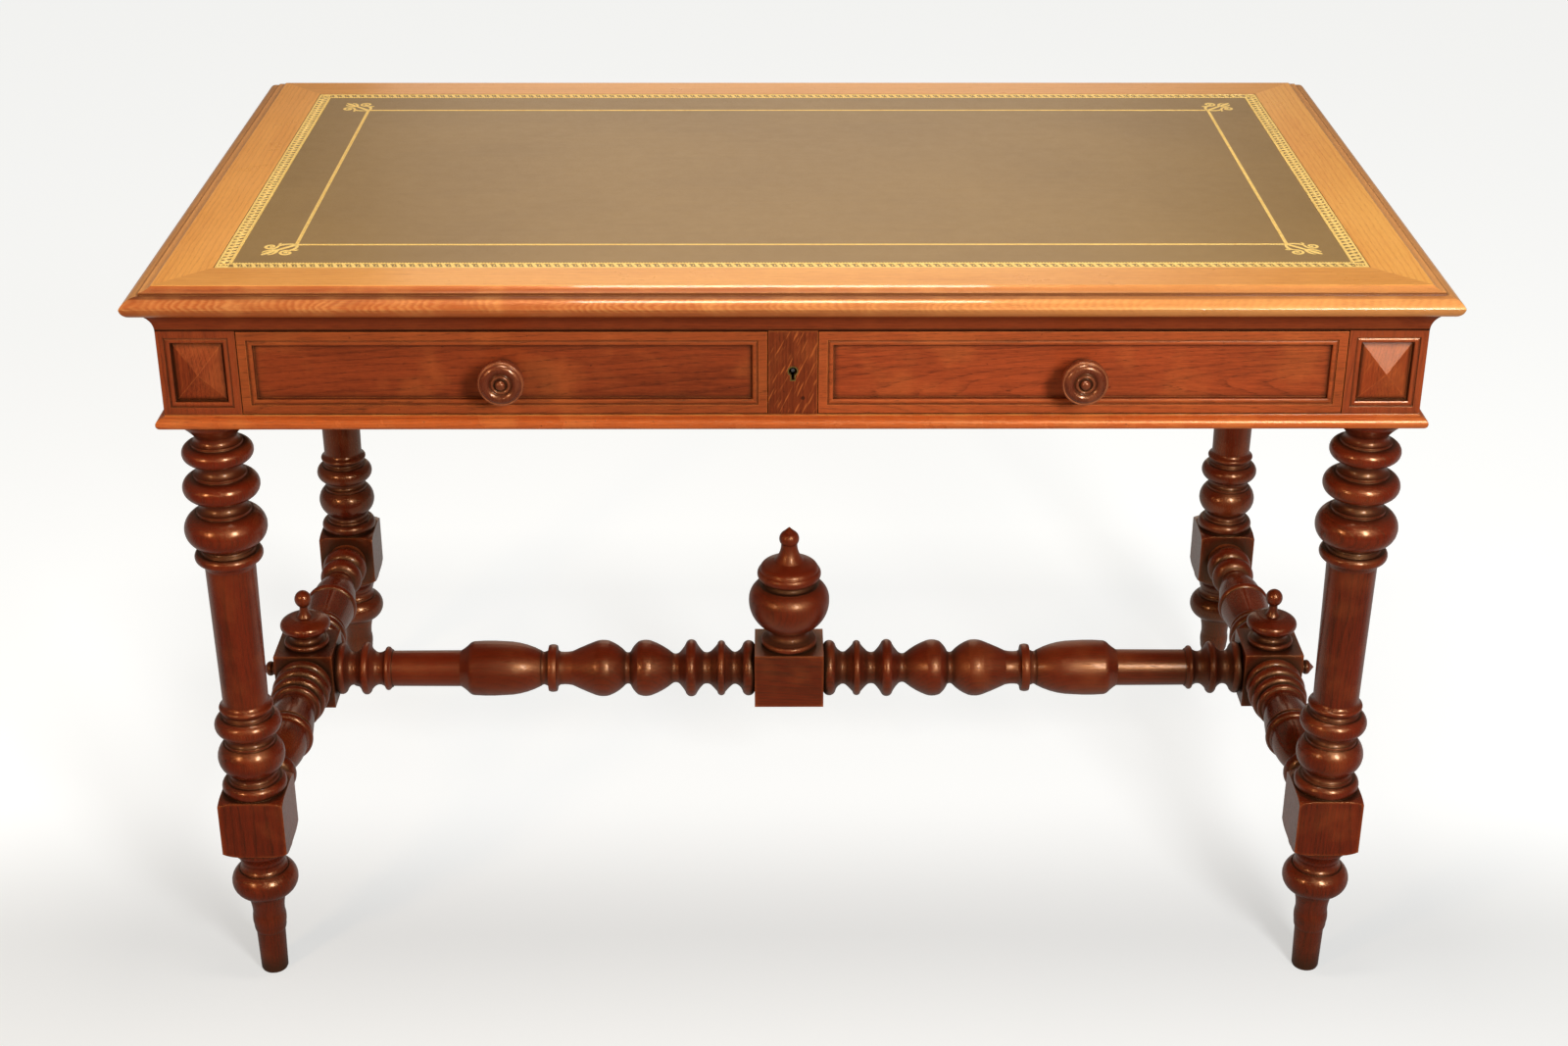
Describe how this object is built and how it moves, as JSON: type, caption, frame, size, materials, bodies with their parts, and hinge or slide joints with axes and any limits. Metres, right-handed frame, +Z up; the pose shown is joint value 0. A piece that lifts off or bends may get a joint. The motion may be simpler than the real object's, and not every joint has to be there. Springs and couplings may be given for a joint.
{
  "type": "library table",
  "caption": "Oak library table with an inset gilt-tooled leather top, frieze drawers with a lock between them, turned legs and a turned H-stretcher with finials.",
  "frame": {"origin": "on the floor under the middle of the table", "axes": "+X to the right along the width, +Y to the back, +Z up; the drawers face -Y"},
  "size_m": [1.17, 0.7095, 0.75],
  "materials": {
    "top_oak": "waxed and French polished, golden",
    "frieze_oak": "French polished, red-brown",
    "moulding_oak": "French polished, red-brown",
    "turned_oak": "French polished, dark brown",
    "knob_oak": "polished, dark",
    "plain_oak": "planed, unpolished",
    "leather": "fine-grained, waxed, gilt tooled",
    "brass": "worn",
    "steel": "dull"
  },
  "bodies": {
    "table": {"top_panel": "plain_oak", "top_leather": "leather", "top_frame_front": "top_oak", "top_frame_right": "top_oak", "top_frame_back": "top_oak", "top_frame_left": "top_oak", "cove_front": "moulding_oak", "cove_right": "moulding_oak", "cove_back": "moulding_oak", "cove_left": "moulding_oak", "base_moulding_front": "moulding_oak", "base_moulding_right": "moulding_oak", "base_moulding_back": "moulding_oak", "base_moulding_left": "moulding_oak", "leg_front_left": "turned_oak", "leg_front_right": "turned_oak", "leg_back_left": "turned_oak", "leg_back_right": "turned_oak", "corner_bosses": "frieze_oak", "front_top_rail": "frieze_oak", "front_bottom_rail": "frieze_oak", "centre_muntin": "frieze_oak", "back_apron": "frieze_oak", "left_apron": "frieze_oak", "right_apron": "frieze_oak", "left_runner": "plain_oak", "centre_runner": "plain_oak", "right_runner": "plain_oak", "drawer_guides": "plain_oak", "kickers": "plain_oak", "drawer_stops": "plain_oak", "glue_blocks": "plain_oak", "lock_case": "steel", "lock_pin": "steel", "keyhole_liner": "brass", "left_side_stretcher": "turned_oak", "right_side_stretcher": "turned_oak", "centre_stretcher": "turned_oak", "centre_finial": "turned_oak", "left_finial": "turned_oak", "right_finial": "turned_oak", "left_button": "turned_oak", "right_button": "turned_oak"},
    "left_drawer": {"left_drawer_front": "frieze_oak", "left_drawer_inner_side": "plain_oak", "left_drawer_outer_side": "plain_oak", "left_drawer_back": "plain_oak", "left_drawer_bottom": "plain_oak", "left_drawer_knob": "knob_oak"},
    "right_drawer": {"right_drawer_front": "frieze_oak", "right_drawer_inner_side": "plain_oak", "right_drawer_outer_side": "plain_oak", "right_drawer_back": "plain_oak", "right_drawer_bottom": "plain_oak", "right_drawer_knob": "knob_oak"},
    "left_bolt": {"left_lock_bolt": "steel"},
    "right_bolt": {"right_lock_bolt": "steel"}
  },
  "joints": [
    {"name": "left_drawer_slide", "type": "slide", "parent": "table", "child": "left_drawer", "axis": [0, -1, 0], "range_m": [0, 0.36]},
    {"name": "right_drawer_slide", "type": "slide", "parent": "table", "child": "right_drawer", "axis": [0, -1, 0], "range_m": [0, 0.36]},
    {"name": "right_bolt_throw", "type": "slide", "parent": "table", "child": "right_bolt", "axis": [1, 0, 0], "range_m": [0, 0.009]},
    {"name": "left_bolt_throw", "type": "slide", "parent": "table", "child": "left_bolt", "axis": [-1, 0, 0], "range_m": [0, 0.009]}
  ],
  "couplings": [
    {"joint": "left_bolt_throw", "follows": "right_bolt_throw", "ratio": 1}
  ]
}
